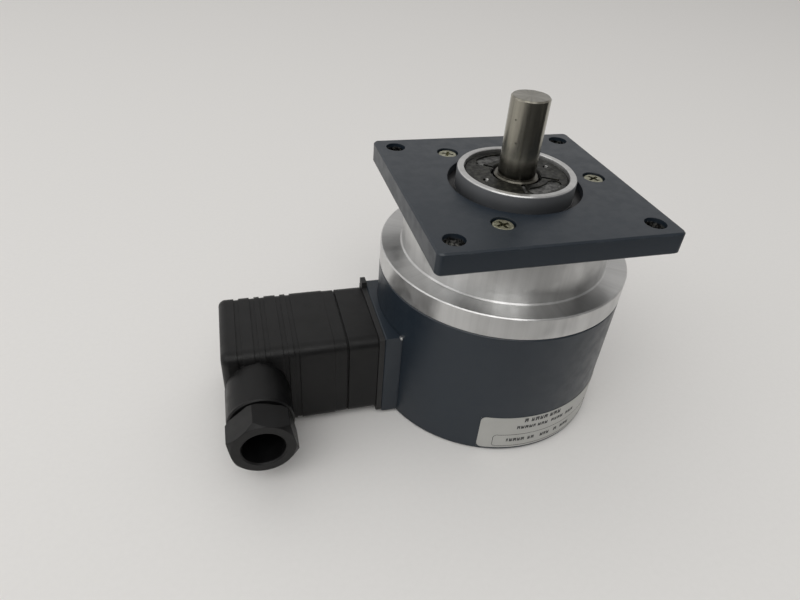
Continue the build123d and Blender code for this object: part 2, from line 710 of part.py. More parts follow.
def connector_block():
    low = (BLOCK_FACE, -BLOCK_HALF, CONN_Z - BLOCK_HALF)
    high = (BLOCK_BACK, BLOCK_HALF, CONN_Z + BLOCK_HALF)
    block = brick(low, high)
    front = block.faces().sort_by(Axis.X)[0].edges()
    block = chamfer(front, BLOCK_EDGE)
    block -= cyl(BODY_R + BLOCK_GAP, -CUT, BODY_TOP)
    block -= cyl_x(WIRE_HOLE_R, BLOCK_FACE - CUT, BLOCK_BACK)
    for y, z in corner_spots():
        block -= cyl_x(M3_R + LOOSE, BLOCK_FACE - CUT, BLOCK_FACE + BASE_SCREW_DEPTH + CLEAR, y, z)
    for y in (-CORNER_SCREW_OFFSET, CORNER_SCREW_OFFSET):
        block -= cyl_x(M3_R + LOOSE, BLOCK_FACE + BLOCK_SCREW_END - CLEAR, BLOCK_BACK, y)
    return block


def block_screws():
    screws = []
    for y in (-CORNER_SCREW_OFFSET, CORNER_SCREW_OFFSET):
        face = BLOCK_SCREW_SEAT + PAN_HEAD_H
        screw = cyl_x(M3_R, BLOCK_FACE + BLOCK_SCREW_END, BLOCK_SCREW_SEAT, y)
        screw += cyl_x(PAN_HEAD_R, BLOCK_SCREW_SEAT, face, y)
        recess = Pos(face, y, CONN_Z) * Rot(0, 90, 0) * cross_recess(PAN_HEAD_CROSS, PAN_HEAD_CROSS_DEPTH)
        screws.append(screw - recess)
    return group(screws)


def base_gasket():
    half = BLOCK_HALF - LOOSE
    gasket = square_bar(half, GASKET_CORNER_R, BLOCK_FACE, BASE_IN)
    top = CONN_Z + half
    gasket += brick((BASE_IN, half - TAB_WIDTH, top - CUT), (BLOCK_FACE, half - TAB_INSET, top + TAB_HEIGHT))
    gasket -= cyl_x(WIRE_HOLE_R, BASE_IN - CUT, BLOCK_FACE + CUT)
    for y, z in corner_spots():
        gasket -= cyl_x(M3_R + LOOSE, BASE_IN - CUT, BLOCK_FACE + CUT, y, z)
    return gasket


def blade(x_near, x_far, spot, gap=0.0):
    """Flat contact blade, lying flat above and below the axis and upright at the sides."""
    y, z = spot
    wide = BLADE_WIDE / 2 + gap
    thin = BLADE_THIN / 2 + gap
    half_y, half_z = (thin, wide) if z == 0 else (wide, thin)
    return brick((x_far, y - half_y, CONN_Z + z - half_z), (x_near, y + half_y, CONN_Z + z + half_z))


def blade_spots():
    offset = BLADE_OFFSET
    return ((-offset, 0), (offset, 0), (0, -offset), (0, offset))


def socket_base():
    base = square_bar(BASE_HALF, BASE_CORNER_R, BASE_IN, BASE_OUT)
    rims = base.faces().filter_by(Axis.X).edges()
    base = chamfer(rims, BASE_EDGE)
    base -= cyl_x(WIRE_HOLE_R, BASE_IN - BASE_WIRE_SPACE, BASE_IN + CUT)
    base -= cyl_x(CENTRE_HEAD_R + TIGHT, BASE_OUT + BUSH_SUNK - LOOSE, BASE_IN)
    base -= cyl_x(M3_R + CLEAR, BASE_OUT - CUT, BASE_IN)
    head_seat = BASE_OUT + BASE_SCREW_SUNK + PAN_HEAD_H
    for y, z in corner_spots():
        base -= cyl_x(M3_R + LOOSE, BASE_OUT - CUT, BASE_IN + CUT, y, z)
        base -= cyl_x(PAN_HEAD_R + CLEAR, BASE_OUT - CUT, head_seat, y, z)
    for spot in blade_spots():
        base -= blade(BASE_IN + CUT, BASE_OUT - CUT, spot, TIGHT)
    return base


def contact_blades():
    return group([blade(BASE_IN - BLADE_TAIL, BLADE_OUT, spot) for spot in blade_spots()])


def base_screws():
    screws = []
    for y, z in corner_spots():
        face = BASE_OUT + BASE_SCREW_SUNK
        seat = face + PAN_HEAD_H
        head = cyl_x(PAN_HEAD_R, face, seat, y, z)
        recess = Pos(face, y, z) * Rot(0, -90, 0) * cross_recess(PAN_HEAD_CROSS, PAN_HEAD_CROSS_DEPTH)
        shank = cyl_x(M3_R, seat, BLOCK_FACE + BASE_SCREW_DEPTH, y, z)
        screws.append(head + shank - recess)
    return group(screws)


def base_insert():
    """Threaded brass bush that takes the centre screw."""
    bush = cyl_x(CENTRE_HEAD_R, BASE_OUT + BUSH_SUNK, BASE_IN - BASE_WIRE_SPACE)
    return bush - cyl_x(M3_R + LOOSE, BASE_OUT, BASE_IN)


def hood_gasket():
    outer = square_bar(BASE_HALF - SEAM_INSET, BASE_CORNER_R, BASE_OUT, HOOD_IN)
    return outer - square_bar(HOOD_HALF - HOOD_WALL, CAVITY_CORNER_R, BASE_OUT, HOOD_IN)


def groove_round_hood(x_far, x_near, depth):
    """Shallow flat-bottomed groove that runs once round the hood."""
    reach = HOOD_HALF + CUT
    outer = brick((x_far, -reach, CONN_Z - reach), (x_near, reach, CONN_Z + reach))
    return outer - square_bar(HOOD_HALF - depth, HOOD_CORNER_R - depth, x_near + CUT, x_far - CUT)


def gland_hump():
    """Tapered hump that runs from the hood's face down on to the end of the barrel."""
    start = Plane(origin=(GLAND_X, HUMP_START, GLAND_Z + HUMP_RISE), z_dir=(0, -1, 0)) * Circle(HUMP_R)
    end_y = BARREL_END + BARREL_EDGE
    end = Plane(origin=(GLAND_X, end_y, GLAND_Z), z_dir=(0, -1, 0)) * Circle(BARREL_R - LOOSE)
    return loft([start, end])


def connector_hood():
    hood = square_bar(HOOD_HALF, HOOD_CORNER_R, HOOD_IN, HOOD_OUT)
    hood = fillet(hood.faces().sort_by(Axis.X)[0].edges(), HOOD_END_FILLET)
    for x in RIB_X:
        hood -= groove_round_hood(x - RIB_WIDTH / 2, x + RIB_WIDTH / 2, RIB_DEPTH)
    hood -= groove_round_hood(RIM_X, HOOD_IN + CUT, RIM_DEPTH)
    hood = chamfer(hood.faces().sort_by(Axis.X)[-1].edges(), HOOD_MOUTH_EDGE)
    barrel = cyl_y(BARREL_R, BARREL_END, BARREL_FLOOR)
    hood += chamfer(barrel.faces().sort_by(Axis.Y)[0].edges(), BARREL_EDGE)
    hood += gland_hump()
    hood -= square_bar(HOOD_HALF - HOOD_WALL, CAVITY_CORNER_R, HOOD_IN + CUT, CAVITY_FAR)
    hood -= brick((HOOD_OUT + HOOD_END_WALL, WIRE_SPACE_FRONT, CONN_Z - WIRE_SPACE_HALF),
                  (CAVITY_FAR + CUT, HOOD_HALF - HOOD_WALL, CONN_Z + WIRE_SPACE_HALF))
    hood -= cyl_y(BARREL_BORE_R, BARREL_END - CUT, BARREL_FLOOR)
    hood -= cyl_y(CABLE_HOLE_R, BARREL_FLOOR - CUT, 0)
    hood -= cyl_x(CENTRE_HEAD_R + 2 * CLEAR, HOOD_OUT - CUT, HOOD_OUT + CENTRE_POCKET)
    hood -= cyl_x(M3_R + CLEAR, HOOD_OUT - CUT, HOOD_OUT + HOOD_END_WALL + CUT)
    return hood


def terminal_insert():
    insert = square_bar(INSERT_HALF, INSERT_CORNER_R, INSERT_IN, INSERT_OUT)
    insert -= cyl_x(M3_R + CLEAR, INSERT_OUT - CUT, INSERT_IN + CUT)
    for spot in blade_spots():
        insert -= blade(INSERT_IN + CUT, BLADE_OUT - BLADE_TAIL, spot, BLADE_SLOT_GAP)
        y, z = spot
        seat = INSERT_OUT + CLEAR + TERMINAL_SCREW_H
        insert -= cyl_x(TERMINAL_SCREW_R + LOOSE, INSERT_OUT - CUT, seat, y, CONN_Z + z)
    return insert


def terminal_screws():
    screws = []
    for y, z in blade_spots():
        face = INSERT_OUT + CLEAR
        head = cyl_x(TERMINAL_SCREW_R, face, face + TERMINAL_SCREW_H, y, CONN_Z + z)
        slot = Pos(face, y, CONN_Z + z) * Box(*TERMINAL_SLOT, 4 * TERMINAL_SCREW_R)
        screws.append(head - slot)
    return group(screws)


def centre_screw():
    head_face = HOOD_OUT + CENTRE_HEAD_SUNK
    head_back = head_face + CENTRE_HEAD_H
    screw = cyl_x(CENTRE_HEAD_R, head_face, head_back)
    screw += cyl_x(M3_R, head_back, CENTRE_SCREW_TIP)
    slot = Pos(head_face, 0, CONN_Z) * Box(*CENTRE_SLOT, 4 * CENTRE_HEAD_R)
    return screw - slot


def centre_screw_seal():
    low = HOOD_OUT + CENTRE_HEAD_SUNK + CENTRE_HEAD_H + TIGHT
    high = HOOD_OUT + CENTRE_POCKET - TIGHT
    return cyl_x(CENTRE_HEAD_R - CLEAR, low, high) - cyl_x(M3_R + LOOSE, low, high)


def gland_seal():
    body = cyl_y(BARREL_BORE_R - LOOSE, SEAL_FRONT, BARREL_FLOOR - LOOSE)
    body = chamfer(body.faces().sort_by(Axis.Y)[-1].edges(), SEAL_EDGE)
    return body - cyl_y(SEAL_HOLE_R, SEAL_FRONT - CUT, 0)


def gland_washer():
    low = SEAL_FRONT - WASHER_THICK
    return cyl_y(BARREL_BORE_R - LOOSE, low, SEAL_FRONT) - cyl_y(WASHER_HOLE_R, low - CUT, 0)


def gland_nut():
    """Hexagonal pressure screw with its corners cut back at both ends and a threaded shank."""
    turned_hex = Rot(90, 0, 0) * Rot(0, 0, NUT_TURN) * hex_bar(NUT_AF, 0, NUT_BACK - NUT_FRONT)
    bar = Pos(GLAND_X, NUT_BACK, GLAND_Z) * turned_hex
    corner_r = NUT_AF / sqrt(3)
    envelope = cyl_y(corner_r, NUT_FRONT, NUT_BACK)
    envelope = chamfer(envelope.faces().sort_by(Axis.Y)[0].edges(), NUT_FRONT_EDGE)
    envelope = chamfer(envelope.faces().sort_by(Axis.Y)[-1].edges(), NUT_BACK_EDGE)
    nut = bar & envelope
    nut += Pos(GLAND_X, 0, GLAND_Z) * Rot(90, 0, 0) * threaded_shank()
    nut -= cyl_y(NUT_BORE_R, NUT_FRONT - CUT, 0)
    mouth = Pos(GLAND_X, NUT_FRONT, GLAND_Z) * Rot(-90, 0, 0) * Cone(
        NUT_BORE_R + NUT_MOUTH_EDGE, NUT_BORE_R, NUT_MOUTH_EDGE, align=MIN_Z)
    return nut - mouth


def threaded_shank():
    """Upright shank with ring grooves in place of a thread, from the washer up into the hexagon."""
    low = -SEAL_FRONT + WASHER_THICK
    high = -NUT_BACK
    profile = [(0, low), (NUT_SHANK_R - NUT_THREAD_DEPTH, low)]
    for number in range(int((high - low) / NUT_THREAD_PITCH)):
        crest = low + (number + 0.5) * NUT_THREAD_PITCH
        profile.append((NUT_SHANK_R, crest))
        profile.append((NUT_SHANK_R - NUT_THREAD_DEPTH, crest + NUT_THREAD_PITCH / 2))
    profile.append((NUT_SHANK_R - NUT_THREAD_DEPTH, high + CUT))
    profile.append((0, high + CUT))
    return turned(profile)


# ---------------------------------------------------------------- write one file per node
def nodes():
    clip_z = FRONT_TOP + TIGHT
    rear_clip_z = REAR_Z - CLIP_THICK
    sensor_top = SENSOR_BOARD_Z + BOARD_THICK
    main_top = MAIN_BOARD_Z + BOARD_THICK
    return {
        "housing_cup": housing_cup(),
        "rear_screws": rear_screws(),
        "cup_o_ring": cup_o_ring(),
        "flange_body": flange_body(),
        "adapter_plate": adapter_plate(),
        "plate_screws": plate_screws(),
        "label": label(),
        "lock_ring": lock_ring(),
        "shaft": shaft(),
        "shaft_circlip": split_ring(CLIP_OUTER_R, CLIP_GROOVE_R + TIGHT, clip_z, clip_z + CLIP_THICK, 250.0),
        "front_inner_race": race(FRONT_PITCH_R - RACE_HALF_GAP, FRONT_BORE_R + TIGHT, FRONT_PITCH_R, FRONT_Z),
        "front_outer_race": race(FRONT_OUTER_R, FRONT_PITCH_R + RACE_HALF_GAP, FRONT_PITCH_R, FRONT_Z),
        "front_balls": balls(FRONT_PITCH_R, FRONT_BALLS, FRONT_Z),
        "front_cage": cage(FRONT_PITCH_R, FRONT_BALLS, FRONT_Z),
        "front_shield": front_shield(),
        "rear_inner_race": race(REAR_PITCH_R - RACE_HALF_GAP, REAR_BORE_R + TIGHT, REAR_PITCH_R, REAR_Z),
        "rear_outer_race": race(REAR_OUTER_R, REAR_PITCH_R + RACE_HALF_GAP, REAR_PITCH_R, REAR_Z),
        "rear_balls": balls(REAR_PITCH_R, REAR_BALLS, REAR_Z),
        "rear_cage": cage(REAR_PITCH_R, REAR_BALLS, REAR_Z),
        "wave_spring": wave_spring(),
        "bearing_clip": split_ring(REAR_CLIP_GROOVE_R, REAR_CLIP_INNER_R, rear_clip_z, REAR_Z, 90.0),
        "disc_hub": disc_hub(),
        "hub_set_screws": hub_set_screws(),
        "code_disc": code_disc(),
        "disc_clamp": disc_clamp(),
        "led_holder": led_holder(),
        "led": led(),
        "reader_head": reader_head(),
        "photo_sensor": photo_sensor(),
        "reticle": reticle(),
        "sensor_board": board(SENSOR_BOARD_Z),
        "main_board": board(MAIN_BOARD_Z),
        "upper_pillars": pillars(sensor_top, SPIGOT_BOTTOM),
        "middle_pillars": pillars(main_top, SENSOR_BOARD_Z),
        "lower_pillars": pillars(CUP_FLOOR, MAIN_BOARD_Z),
        "board_chips": board_chips(),
        "capacitors": capacitors(),
        "board_header": board_header(),
        "connector_wires": connector_wires(),
        "connector_block": connector_block(),
        "block_screws": block_screws(),
        "base_gasket": base_gasket(),
        "socket_base": socket_base(),
        "contact_blades": contact_blades(),
        "base_screws": base_screws(),
        "base_insert": base_insert(),
        "hood_gasket": hood_gasket(),
        "connector_hood": connector_hood(),
        "terminal_insert": terminal_insert(),
        "terminal_screws": terminal_screws(),
        "centre_screw": centre_screw(),
        "centre_screw_seal": centre_screw_seal(),
        "gland_seal": gland_seal(),
        "gland_washer": gland_washer(),
        "gland_nut": gland_nut(),
    }


os.makedirs("parts", exist_ok=True)
for name, shape in nodes().items():
    export_step(shape, f"parts/{name}.step")
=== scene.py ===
import json
import math
import bmesh
import bpy
from mathutils import Matrix, Vector


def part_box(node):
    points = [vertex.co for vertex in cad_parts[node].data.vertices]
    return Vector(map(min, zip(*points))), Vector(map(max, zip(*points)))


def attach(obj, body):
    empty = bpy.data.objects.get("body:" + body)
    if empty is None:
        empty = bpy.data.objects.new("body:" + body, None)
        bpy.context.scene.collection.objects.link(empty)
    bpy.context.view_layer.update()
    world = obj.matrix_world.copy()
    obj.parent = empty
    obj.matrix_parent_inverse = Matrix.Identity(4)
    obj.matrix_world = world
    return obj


# Looks of the rotary encoder: its materials, the marks printed on its label, a pale floor, soft
# light and a camera. Places are in the row frame. Lights and cards are placed in metres. The
# camera, the label and the textures are given in millimetres.

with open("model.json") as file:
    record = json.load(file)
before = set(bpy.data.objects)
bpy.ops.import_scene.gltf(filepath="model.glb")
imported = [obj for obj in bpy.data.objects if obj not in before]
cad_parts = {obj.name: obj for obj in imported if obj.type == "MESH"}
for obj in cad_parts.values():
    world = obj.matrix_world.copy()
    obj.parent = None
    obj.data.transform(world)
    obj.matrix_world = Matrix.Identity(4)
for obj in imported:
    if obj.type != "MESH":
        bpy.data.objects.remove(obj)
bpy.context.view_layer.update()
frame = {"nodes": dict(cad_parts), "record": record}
NODES = frame["nodes"]
MM = 0.001

FOCAL_LENGTH = 26.57
CAMERA_PLACE = (-71.4, -131.8, 134.9)
# The camera's azimuth, elevation and roll in degrees.
CAMERA_ANGLES = (-17.69, 36.74, 4.75)

MOUNTS = {mount["name"]: mount for mount in frame["record"]["mounts"]}
PLATE_LOW, PLATE_HIGH = (corner.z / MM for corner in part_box("adapter_plate"))
CUP_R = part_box("housing_cup")[1].x / MM

PAINT = (0.0110, 0.0180, 0.0272)
PLASTIC = (0.004, 0.004, 0.0042)
ALUMINIUM = (0.66, 0.66, 0.655)
# Darker aluminium: random tone on turned parts, and the dark side of the painted reflection streaks on
# the flange.
WORN_AND_STREAK_ALUMINIUM = (0.57, 0.57, 0.565)
# Turned aluminium: its roughness, the lathe lines' pitch and depth, and the pull on a highlight.
TURNED = (0.32, 0.12, 0.001, 0.8)
STEEL = (0.35, 0.335, 0.285)
# Painted glints on the lock ring beside its pin holes, in millimetres.
PIN_GLINTS = ((10.4, 3.3), (-9.3, -2.5))
POCKET_DEPTH = 0.4
DISC_LINES = 250
TRACK_IN, TRACK_OUT = 16.5, 19.6

FLOOR_HALF = 6.0
FLOOR_GAP = 0.02 * MM
WARM_WHITE = (1.0, 0.995, 0.98)
WHITE = (1.0, 1.0, 1.0)
# Each light: name, place, aim, size, power and colour.
LIGHTS = (
    ("ceiling", (-0.30, 0.0, 1.4), (0.0, 0.0, 0.0), (2.8, 2.0), 3.2, WARM_WHITE),
    ("front_ceiling", (-0.40, -0.75, 1.1), (-0.03, 0.0, 0.02), (1.4, 0.8), 6.4, WARM_WHITE),
    ("left_window", (-1.1, -0.15, 0.6), (0.0, 0.0, 0.03), (0.8, 0.8), 1.7, WHITE),
)
# Dark cards just above the floor. Each: its left, right, near and far sides.
CARDS = ((-0.26, 1.2, -1.5, -0.115), (0.15, 1.2, -0.115, 0.0))
CARD_HEIGHT = 0.002


# ---------------------------------------------------------------- camera
def view_axes(azimuth, elevation, roll):
    """Right, up and backward directions of a camera, from angles in degrees."""
    az, el, turn = (math.radians(a) for a in (azimuth, elevation, roll))
    back = Vector((math.sin(az) * math.cos(el), -math.cos(az) * math.cos(el), math.sin(el)))
    right = Vector((math.cos(az), math.sin(az), 0))
    up = back.cross(right)
    return (right * math.cos(turn) + up * math.sin(turn),
            up * math.cos(turn) - right * math.sin(turn), back)


def make_camera():
    data = bpy.data.cameras.new("camera")
    data.sensor_width = 36.0
    data.lens = FOCAL_LENGTH
    data.clip_start = 0.01
    camera = bpy.data.objects.new("camera", data)
    bpy.context.scene.collection.objects.link(camera)
    right, up, back = view_axes(*CAMERA_ANGLES)
    turn = Matrix((right, up, back)).transposed().to_4x4()
    camera.matrix_world = Matrix.Translation(Vector(CAMERA_PLACE) * MM) @ turn
    bpy.context.scene.camera = camera
    bpy.context.scene.view_settings.view_transform = "Standard"


# ---------------------------------------------------------------- materials
class Recipe:
    """One procedural material on a Principled shader. Its textures are measured in millimetres."""

    def __init__(self, name, colour, rough, metallic=0.0):
        self.material = bpy.data.materials.new(name)
        self.material.use_nodes = True
        self.tree = self.material.node_tree
        self.shader = self.tree.nodes["Principled BSDF"]
        self.set("Base Color", colour)
        self.set("Roughness", rough)
        self.set("Metallic", metallic)
        self.material.diffuse_color = (*colour, 1.0)
        self.normal = None
        place = self.node("ShaderNodeTexCoord").outputs["Object"]
        self.here = self.vector("MULTIPLY", place, (1 / MM,) * 3)

    def node(self, kind, **settings):
        made = self.tree.nodes.new(kind)
        for key, value in settings.items():
            setattr(made, key, value)
        return made

    def feed(self, socket, value):
        """Links a socket or sets a number, a vector or a colour."""
        if isinstance(value, bpy.types.NodeSocket):
            self.tree.links.new(value, socket)
        elif isinstance(value, (int, float)):
            socket.default_value = value
        else:
            given = tuple(value)
            socket.default_value = given + (1.0,) * (len(socket.default_value) - len(given))

    def set(self, socket, value):
        self.feed(self.shader.inputs[socket], value)

    def math(self, operation, a, b=0.0):
        made = self.node("ShaderNodeMath", operation=operation)
        self.feed(made.inputs[0], a)
        self.feed(made.inputs[1], b)
        return made.outputs[0]

    def vector(self, operation, a, b):
        made = self.node("ShaderNodeVectorMath", operation=operation)
        self.feed(made.inputs[0], a)
        self.feed(made.inputs[1], b)
        return made.outputs["Value" if operation in ("DISTANCE", "DOT_PRODUCT") else "Vector"]

    def parts(self):
        """X, Y and Z of this point."""
        made = self.node("ShaderNodeSeparateXYZ")
        self.feed(made.inputs[0], self.here)
        return made.outputs

    def join(self, x, y, z):
        made = self.node("ShaderNodeCombineXYZ")
        for socket, value in zip(made.inputs, (x, y, z)):
            self.feed(socket, value)
        return made.outputs[0]

    def noise(self, size, detail=2.0, where=None, rough=0.5):
        """Soft noise from 0 to 1 with features about as big as size."""
        made = self.node("ShaderNodeTexNoise")
        self.feed(made.inputs["Vector"], where or self.here)
        made.inputs["Scale"].default_value = 1.0 / size
        made.inputs["Detail"].default_value = detail
        made.inputs["Roughness"].default_value = rough
        return made.outputs[0]

    def cells(self, size, feature="F1"):
        """Distance to the nearest of scattered points, or to the edge between two, in cells."""
        made = self.node("ShaderNodeTexVoronoi", feature=feature)
        self.feed(made.inputs["Vector"], self.here)
        made.inputs["Scale"].default_value = 1.0 / size
        return made.outputs["Distance"]

    def step(self, value, low, high, start=0.0, end=1.0):
        """Smooth change from start to end as value goes from low to high."""
        made = self.node("ShaderNodeMapRange", interpolation_type="SMOOTHSTEP")
        for socket, number in zip(("Value", "From Min", "From Max", "To Min", "To Max"),
                                  (value, low, high, start, end)):
            self.feed(made.inputs[socket], number)
        return made.outputs["Result"]

    def mix(self, share, first, second):
        """Colour between two others."""
        made = self.node("ShaderNodeMix", data_type="RGBA")
        self.feed(made.inputs["Factor"], share)
        self.feed(made.inputs[6], first)
        self.feed(made.inputs[7], second)
        return made.outputs[2]

    def bump(self, height, depth):
        """Adds relief: height from 0 to 1 stands for depth in millimetres."""
        made = self.node("ShaderNodeBump")
        made.inputs["Strength"].default_value = 1.0
        made.inputs["Distance"].default_value = depth * MM
        self.feed(made.inputs["Height"], height)
        if self.normal:
            self.feed(made.inputs["Normal"], self.normal)
        self.normal = made.outputs["Normal"]

    def rounded_edges(self, radius):
        """Makes sharp edges catch the light as if rounded by that many millimetres."""
        made = self.node("ShaderNodeBevel", samples=4)
        made.inputs["Radius"].default_value = radius * MM
        self.normal = made.outputs[0]

    def near(self, point, size):
        """1 at a point in the row frame, in millimetres, falling to 0 at a ragged distance."""
        distance = self.vector("DISTANCE", self.here, point)
        jitter = self.math("MULTIPLY", self.noise(size * 0.5), size * 0.8)
        ragged = self.math("ADD", distance, jitter)
        return self.step(ragged, size * 0.9, size * 1.3, 1.0, 0.0)

    def edges(self):
        """1 where the rounded normal leaves the face's own, so along sharp edges."""
        flat = self.node("ShaderNodeNewGeometry").outputs["True Normal"]
        return self.step(self.vector("DOT_PRODUCT", self.normal, flat), 0.86, 0.99, 1.0, 0.0)

    def inside_holes(self, spacing, radius, top):
        """1 on the walls of four holes in a square round the shaft axis, below the given height."""
        x, y, z = self.parts()
        sides = [self.math("SUBTRACT", self.math("ABSOLUTE", a), spacing / 2) for a in (x, y)]
        wall = self.step(self.length(*sides), radius + 0.05, radius + 0.15, 1.0, 0.0)
        ragged = self.math("ADD", z, self.math("MULTIPLY", self.noise(1.2, 3), 1.2))
        return self.math("MULTIPLY", wall, self.step(ragged, top, top + 0.6, 1.0, 0.0))

    def length(self, x, y):
        squares = [self.math("MULTIPLY", side, side) for side in (x, y)]
        return self.math("SQRT", self.math("ADD", *squares))

    def radius(self, centre=(0.0, 0.0)):
        """Distance from an upright axis, which is the shaft's unless told otherwise."""
        x, y, _ = self.parts()
        return self.length(self.math("SUBTRACT", x, centre[0]), self.math("SUBTRACT", y, centre[1]))

    def fan(self, size):
        """Soft noise that changes only with the direction round the shaft axis, used for painted
        reflection streaks.
        """
        x, y, _ = self.parts()
        radius = self.radius()
        outward = self.join(self.math("DIVIDE", x, radius), self.math("DIVIDE", y, radius), 0.0)
        return self.noise(size, 4, outward, 0.65)

    def between(self, value, low, high, blur):
        """1 while value is between two limits."""
        above = self.step(value, low - blur, low)
        below = self.step(value, high, high + blur, 1.0, 0.0)
        return self.math("MULTIPLY", above, below)

    def done(self):
        if self.normal:
            self.set("Normal", self.normal)
        return self.material


def paint(name="housing_paint", bare_spot=None, bare_holes=None):
    """Satin blue-grey paint with a faint orange peel, thin at sharp edges."""
    m = Recipe(name, PAINT, 0.36)
    broad = m.noise(14.0, 3)
    colour = m.mix(broad, [0.92 * c for c in PAINT], [1.1 * c for c in PAINT])
    speck = m.step(m.noise(0.25, 2), 0.66, 0.74)
    colour = m.mix(m.math("MULTIPLY", speck, 0.2), colour, (0.06, 0.065, 0.07))
    m.rounded_edges(0.25)
    worn = m.math("MULTIPLY", m.edges(), m.step(m.noise(3.0, 4), 0.5, 0.7))
    colour = m.mix(m.math("MULTIPLY", worn, 0.5), colour, (0.16, 0.17, 0.18))
    m.bump(m.noise(0.5, 2), 0.010)
    rough = m.step(m.noise(3.0, 4), 0.3, 0.7, 0.32, 0.42)
    bare = None
    if bare_spot:
        bare = m.near(bare_spot, 1.2)
        metal = m.mix(m.step(m.noise(0.5, 3), 0.35, 0.65), (0.45, 0.45, 0.45), (0.75, 0.75, 0.74))
    if bare_holes:
        bare = m.inside_holes(*bare_holes)
        metal = m.mix(m.step(m.noise(0.7, 4), 0.42, 0.68), (0.03, 0.031, 0.033), (0.30, 0.30, 0.285))
    if bare:
        colour = m.mix(bare, colour, metal)
        m.set("Metallic", bare)
        rough = m.math("SUBTRACT", rough, m.math("MULTIPLY", bare, 0.06))
    m.set("Base Color", colour)
    m.set("Roughness", rough)
    return m.done()


def turned_metal(name, colour, rough, pitch, relief, pull):
    """Metal with fine lathe lines round the shaft axis; pull stretches its highlights across them."""
    m = Recipe(name, colour, rough, 1.0)
    _, _, z = m.parts()
    across = m.join(m.math("DIVIDE", m.radius(), pitch), m.math("DIVIDE", z, pitch), 0.0)
    lines = m.noise(1.0, 3, across, 0.7)
    m.set("Roughness", m.step(lines, 0.3, 0.7, rough - 0.04, rough + 0.06))
    m.rounded_edges(0.15)
    m.bump(lines, relief)
    m.set("Anisotropic", pull)
    m.set("Anisotropic Rotation", 0.25)
    tangent = m.node("ShaderNodeTangent", direction_type="RADIAL", axis="Z")
    m.set("Tangent", tangent.outputs[0])
    return m


def blotched_metal(name, colour, dark, *surface):
    """Turned metal whose tone drifts over some millimetres."""
    m = turned_metal(name, colour, *surface)
    m.set("Base Color", m.mix(m.step(m.noise(9.0, 3), 0.35, 0.75), colour, dark))
    return m.done()


def flange_finish():
    """Turned aluminium with painted reflection streaks: satin on the boss's wall with painted shade
    towards its foot, and painted shade in the gap round it.
    """
    m = turned_metal("flange_aluminium", ALUMINIUM, *TURNED)
    boss = MOUNTS["pilot"]["dims"]["r_mm"]
    _, _, z = m.parts()
    high = m.step(z, PLATE_LOW, PLATE_LOW + 0.1)
    wall = m.math("MULTIPLY", high, m.between(m.radius(), boss - 0.12, boss + 0.03, 0.05))
    # Painted shade: the flange goes near black in the gap round the boss.
    gap = m.math("MULTIPLY", high, m.step(m.radius(), boss + 0.05, boss + 0.1))
    # Painted reflection streaks: the aluminium's tone changes with the direction round the axis.
    reflection_streaked = m.mix(m.step(m.fan(0.16), 0.35, 0.68), ALUMINIUM, WORN_AND_STREAK_ALUMINIUM)
    # Painted shade: the boss's wall darkens towards its foot, by the plate.
    shade = m.step(z, PLATE_HIGH - 0.5, PLATE_HIGH + 3.0)
    satin = m.mix(shade, (0.07, 0.074, 0.08), (0.15, 0.156, 0.165))
    m.set("Base Color", m.mix(gap, m.mix(wall, reflection_streaked, satin), (0.03, 0.03, 0.032)))
    m.set("Metallic", m.math("SUBTRACT", 1.0, m.math("MULTIPLY", wall, 0.55)))
    rough = m.step(m.noise(3.0, 3), 0.3, 0.7, 0.29, 0.37)
    m.set("Roughness", m.math("ADD", rough, m.math("MULTIPLY", wall, 0.2)))
    return m.done()


def shaft_finish():
    """Ground stainless steel with a few pits and painted reflection streaks, darker towards the lock
    ring and down in its bore.
    """
    m = turned_metal("shaft_steel", STEEL, 0.18, 0.10, 0.0001, 0.85)
    _, _, z = m.parts()
    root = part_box("lock_ring")[1].z / MM
    level = m.math("ADD", z, m.math("MULTIPLY", m.noise(1.5, 3), 1.2))
    # The steel darkens towards the lock ring, and in patches down in its bore.
    darker_near_root = m.step(level, root + 0.6, root + 7.0, 0.75, 0.0)
    patches = m.step(m.noise(1.8, 2), 0.56, 0.62, 1.0, 0.2)
    darker_in_bore = m.math("MULTIPLY", m.step(z, root - 0.3, root, 0.9, 0.0), patches)
    pits = m.step(m.cells(3.2), 0.07, 0.11, 0.8, 0.0)
    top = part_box("shaft")[1].z / MM
    sawn_end = m.step(z, top - 0.1, top - 0.02, 0.0, 0.3)
    marks = m.math("MAXIMUM", m.math("MAXIMUM", darker_near_root, darker_in_bore), m.math("MAXIMUM", pits, sawn_end))
    # Painted reflection streaks: the steel's tone changes with the direction round the axis.
    reflection_streaked = m.mix(m.step(m.fan(0.35), 0.38, 0.62), STEEL, [0.7 * c for c in STEEL])
    m.set("Base Color", m.mix(marks, reflection_streaked, (0.05, 0.047, 0.04)))
    return m.done()


def plated_metal(name, colour, dark, rough, size=1.5):
    """Plated or pressed metal with blotches and a fine grain."""
    m = Recipe(name, colour, rough, 1.0)
    blotch = m.step(m.noise(size, 4), 0.35, 0.7)
    m.set("Base Color", m.mix(blotch, colour, dark))
    m.set("Roughness", m.step(m.noise(size * 0.4, 3), 0.3, 0.7, rough - 0.08, rough + 0.1))
    m.rounded_edges(0.12)
    m.bump(m.noise(size * 0.12, 3), 0.006)
    return m.done()


def moulded_plastic(name, colour, light, rough):
    """Plastic from a spark-eroded mould: a fine even grain with faint dust."""
    m = Recipe(name, colour, rough)
    m.set("Specular IOR Level", 0.30)
    dust = m.math("MULTIPLY", m.step(m.noise(5.0, 5, rough=0.6), 0.45, 0.8), 0.5)
    m.set("Base Color", m.mix(dust, colour, light))
    m.set("Roughness", m.step(m.noise(2.5, 3), 0.3, 0.7, rough - 0.05, rough + 0.06))
    m.rounded_edges(0.2)
    m.bump(m.noise(0.16, 2), 0.03)
    return m.done()


